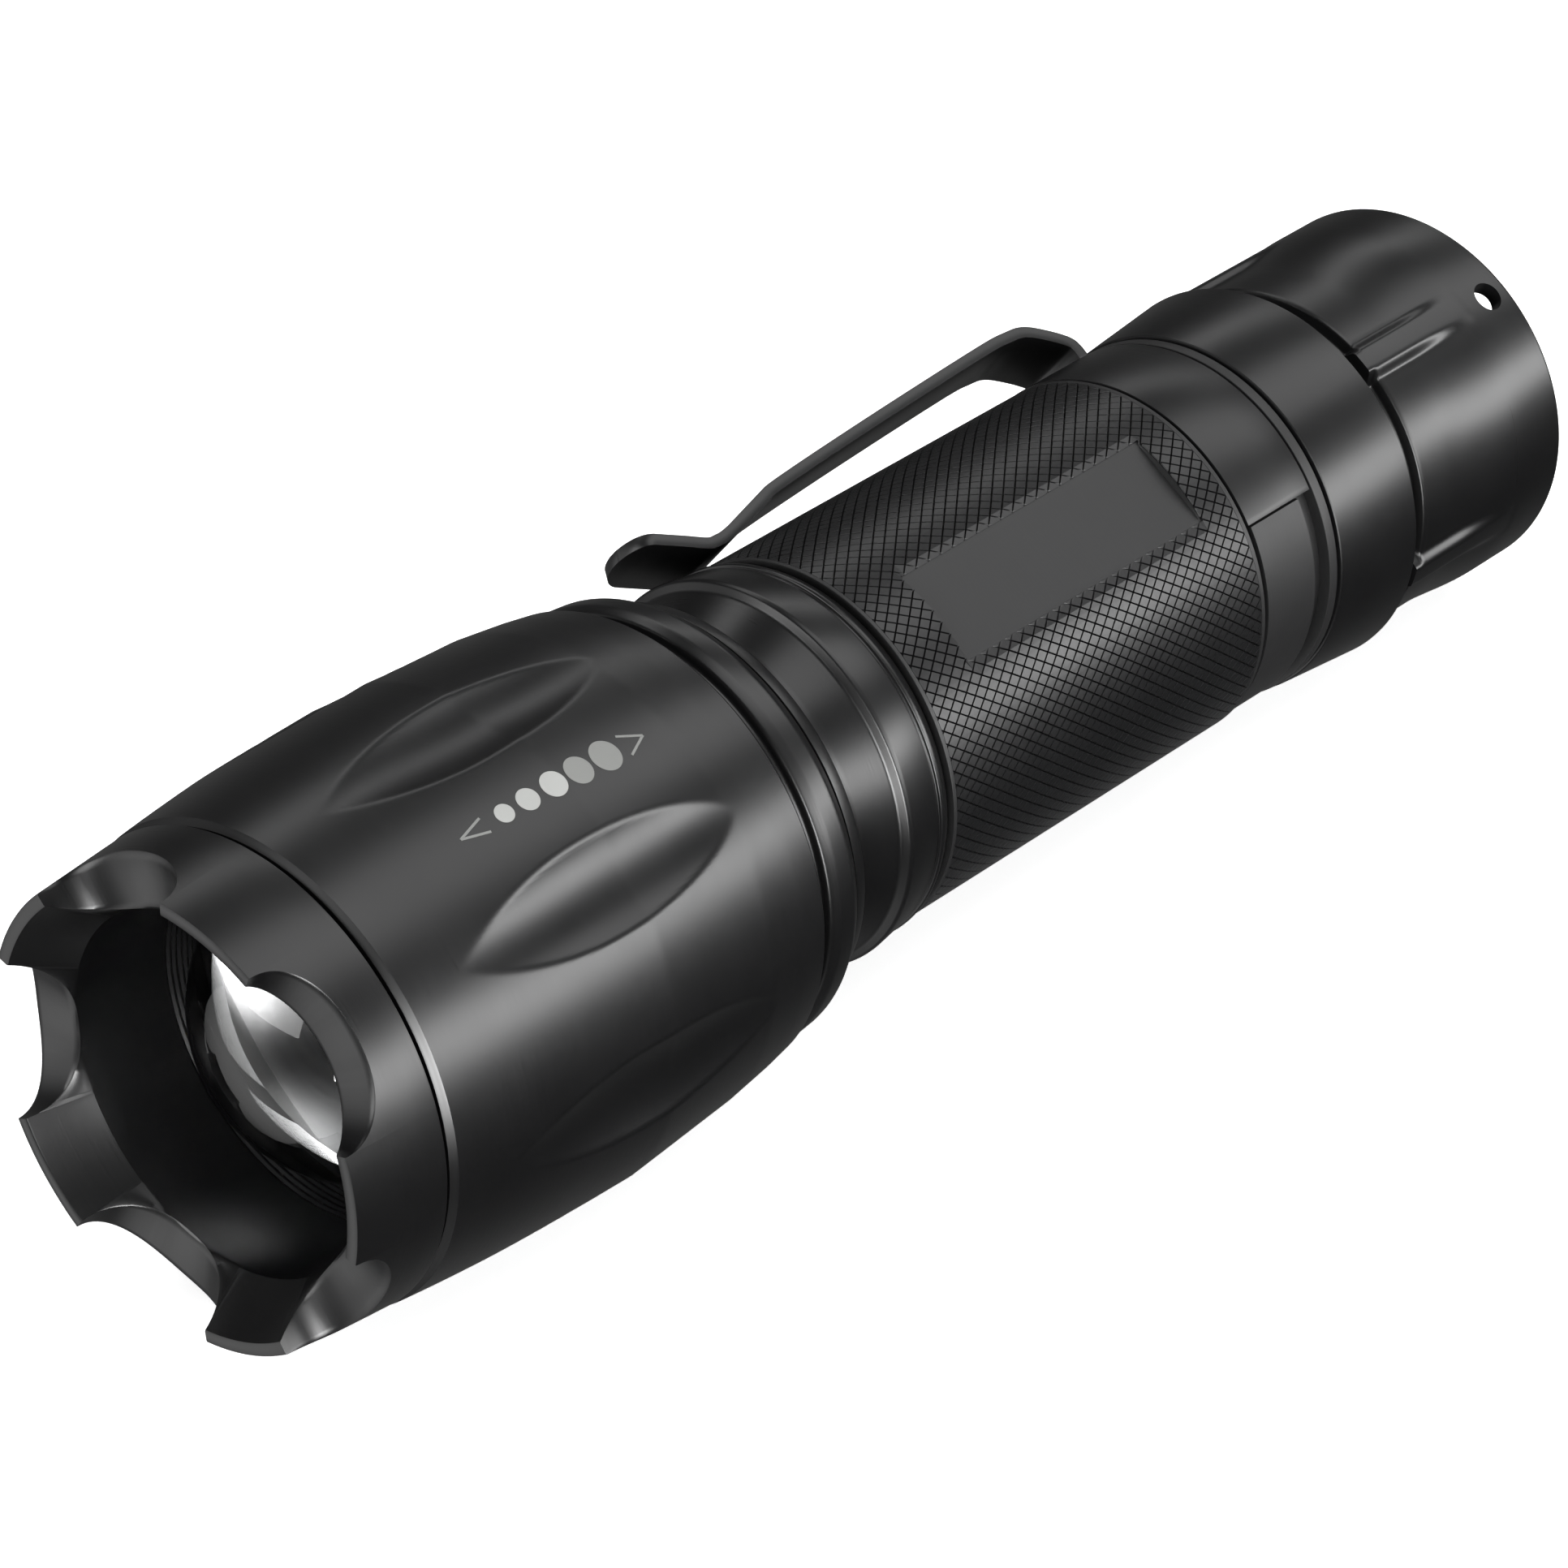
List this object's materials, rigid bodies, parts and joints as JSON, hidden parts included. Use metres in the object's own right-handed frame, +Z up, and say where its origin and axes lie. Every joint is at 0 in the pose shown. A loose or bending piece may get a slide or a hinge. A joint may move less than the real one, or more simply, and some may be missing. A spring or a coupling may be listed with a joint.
{
  "type": "flashlight",
  "caption": "Zoomable pocket flashlight: scalloped bezel over a deep lens, dimpled sliding head, knurled tube with pocket clip, screw-on tail cap with push button.",
  "frame": {"origin": "middle of the length and width, at the height of the lowest point of the head as it lies on its side", "axes": "+Y from the beam end to the tail end along the flashlight axis, +Z up, +X to the right; the beam leaves along -Y and the pocket clip is up and towards -X"},
  "size_m": [0.0376, 0.1324, 0.0377],
  "materials": {
    "black_anodised": "satin black anodised, fine turned finish",
    "black_spring_steel": "black coated spring steel",
    "spring_wire": "plated spring wire",
    "bare_aluminium": "bare turned aluminium",
    "black_rubber": "matte silicone rubber",
    "black_plastic": "moulded plastic",
    "white_plastic": "moulded plastic",
    "clear_lens": "polished clear lens",
    "led_phosphor": "LED package with yellow phosphor",
    "green_board": "solder-masked circuit board",
    "cell_wrap": "cell in a plain blue shrink wrap",
    "red_wire": "insulated wire"
  },
  "bodies": {
    "barrel": {"battery_tube": "black_anodised", "pocket_clip": "black_spring_steel", "battery_cell": "cell_wrap", "cell_insulator_ring": "white_plastic", "battery_sleeve": "white_plastic", "head_core": "black_anodised", "travel_stop_ring": "black_anodised", "led_pill": "bare_aluminium", "driver_board": "green_board", "driver_chip": "black_plastic", "driver_inductor": "black_plastic", "driver_contact_spring": "spring_wire", "led_wire_positive": "red_wire", "led_wire_negative": "black_rubber", "led_star_board": "white_plastic", "led_package": "led_phosphor", "led_dome": "clear_lens", "led_centring_ring": "white_plastic", "rear_tube_seal": "black_rubber", "front_tube_seal": "black_rubber", "stop_ring_seal": "black_rubber"},
    "zoom_head": {"head_sleeve": "black_anodised", "bezel_ring": "black_anodised", "aspheric_lens": "clear_lens", "lens_gasket": "black_rubber", "neck_wiper_seal": "black_rubber"},
    "switch_module": {"switch_housing": "black_plastic", "rubber_boot": "black_rubber", "switch_return_spring": "spring_wire", "switch_contact_board": "green_board", "switch_retaining_ring": "bare_aluminium", "tail_contact_spring": "spring_wire"},
    "tail_cap_shell": {"tail_cap": "black_anodised"},
    "tail_button": {"switch_plunger": "black_plastic"}
  },
  "joints": [
    {"name": "head_zoom", "type": "slide", "parent": "barrel", "child": "zoom_head", "axis": [0, -1, 0], "range_m": [0, 0.014]},
    {"name": "cap_travel", "type": "slide", "parent": "barrel", "child": "switch_module", "axis": [0, 1, 0], "range_m": [0, 0.00625], "deforming": ["tail_contact_spring"]},
    {"name": "cap_screw", "type": "hinge", "parent": "switch_module", "child": "tail_cap_shell", "pos_m": [0, 0.0526, 0.01884], "axis": [0, 1, 0], "range_deg": [0, 1800]},
    {"name": "button_press", "type": "slide", "parent": "switch_module", "child": "tail_button", "axis": [0, -1, 0], "range_m": [0, 0.0018], "stiffness_N_per_m": 800, "deforming": ["rubber_boot", "switch_return_spring"]}
  ],
  "couplings": [
    {"joint": "cap_travel", "follows": "cap_screw", "m_per_rad": 0.00019894}
  ]
}
